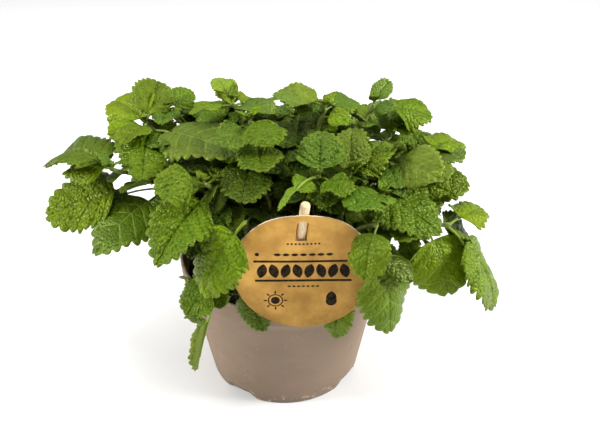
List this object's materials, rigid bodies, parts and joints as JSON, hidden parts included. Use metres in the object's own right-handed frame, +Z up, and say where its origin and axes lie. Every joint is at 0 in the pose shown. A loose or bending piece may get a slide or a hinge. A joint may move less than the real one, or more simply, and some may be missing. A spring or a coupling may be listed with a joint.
{
  "type": "potted lemon balm plant",
  "caption": "Bushy lemon balm herb with toothed, puckered leaves, in a round tapered plastic nursery pot with a round card label on a wooden stick.",
  "frame": {"origin": "on the surface that the pot stands on, under the middle of plant and pot together; the pot's own axis is 8 mm to +X and 3 mm to -Y of it", "axes": "+Z up, -Y towards the front with the label, +X to the right seen from the front"},
  "size_m": [0.2544, 0.1838, 0.1964],
  "materials": {
    "pot_plastic": "matte",
    "soil": "matte",
    "beech": "matte",
    "kraft_card": "matte",
    "stem": "satin",
    "leaf": "satin"
  },
  "bodies": {
    "root": {"pot": "pot_plastic", "soil": "soil", "label_stick": "beech", "label_card": "kraft_card", "plantlet_left": "stem", "plantlet_front_left": "stem", "plantlet_centre_left": "stem", "plantlet_centre_right": "stem", "plantlet_right": "stem", "plantlet_front_right": "stem", "plantlet_back": "stem", "leaf_left_arching": "leaf", "leaf_left_small": "leaf", "leaf_left_broad": "leaf", "leaf_left_under": "leaf", "leaf_left_drooping": "leaf", "leaf_crown_far_left": "leaf", "leaf_crown_left": "leaf", "leaf_broad_centre_left": "leaf", "leaf_mid_left": "leaf", "leaf_hanging_left": "leaf", "leaf_by_card_left": "leaf", "leaf_over_rim_left": "leaf", "leaf_folded_left": "leaf", "leaf_behind_card_left": "leaf", "leaf_crown_upright": "leaf", "leaf_crown_turned": "leaf", "leaf_crown_centre": "leaf", "leaf_inner_left": "leaf", "leaf_inner_curled": "leaf", "leaf_inner_low": "leaf", "leaf_inner_dark": "leaf", "leaf_crown_mid": "leaf", "leaf_crown_mid_right": "leaf", "leaf_front_upright": "leaf", "leaf_front_small": "leaf", "leaf_right_upright": "leaf", "leaf_right_puckered": "leaf", "leaf_right_mid": "leaf", "leaf_crown_right": "leaf", "leaf_crown_far_right": "leaf", "leaf_far_right_high": "leaf", "leaf_right_broad": "leaf", "leaf_far_right": "leaf", "leaf_low_right_out": "leaf", "leaf_hanging_right": "leaf", "leaf_hanging_far_right": "leaf", "leaf_by_card_right": "leaf", "leaf_over_rim_right": "leaf", "leaf_behind_card_right": "leaf", "leaf_rear_left_out": "leaf", "leaf_rear_left_low": "leaf", "leaf_back_left_out": "leaf", "leaf_back_left_in": "leaf", "leaf_back_mid_left": "leaf", "leaf_back_mid_right": "leaf", "leaf_back_right_in": "leaf", "leaf_back_right_out": "leaf", "leaf_rear_right_high": "leaf", "leaf_rear_right_low": "leaf"}
  },
  "joints": []
}
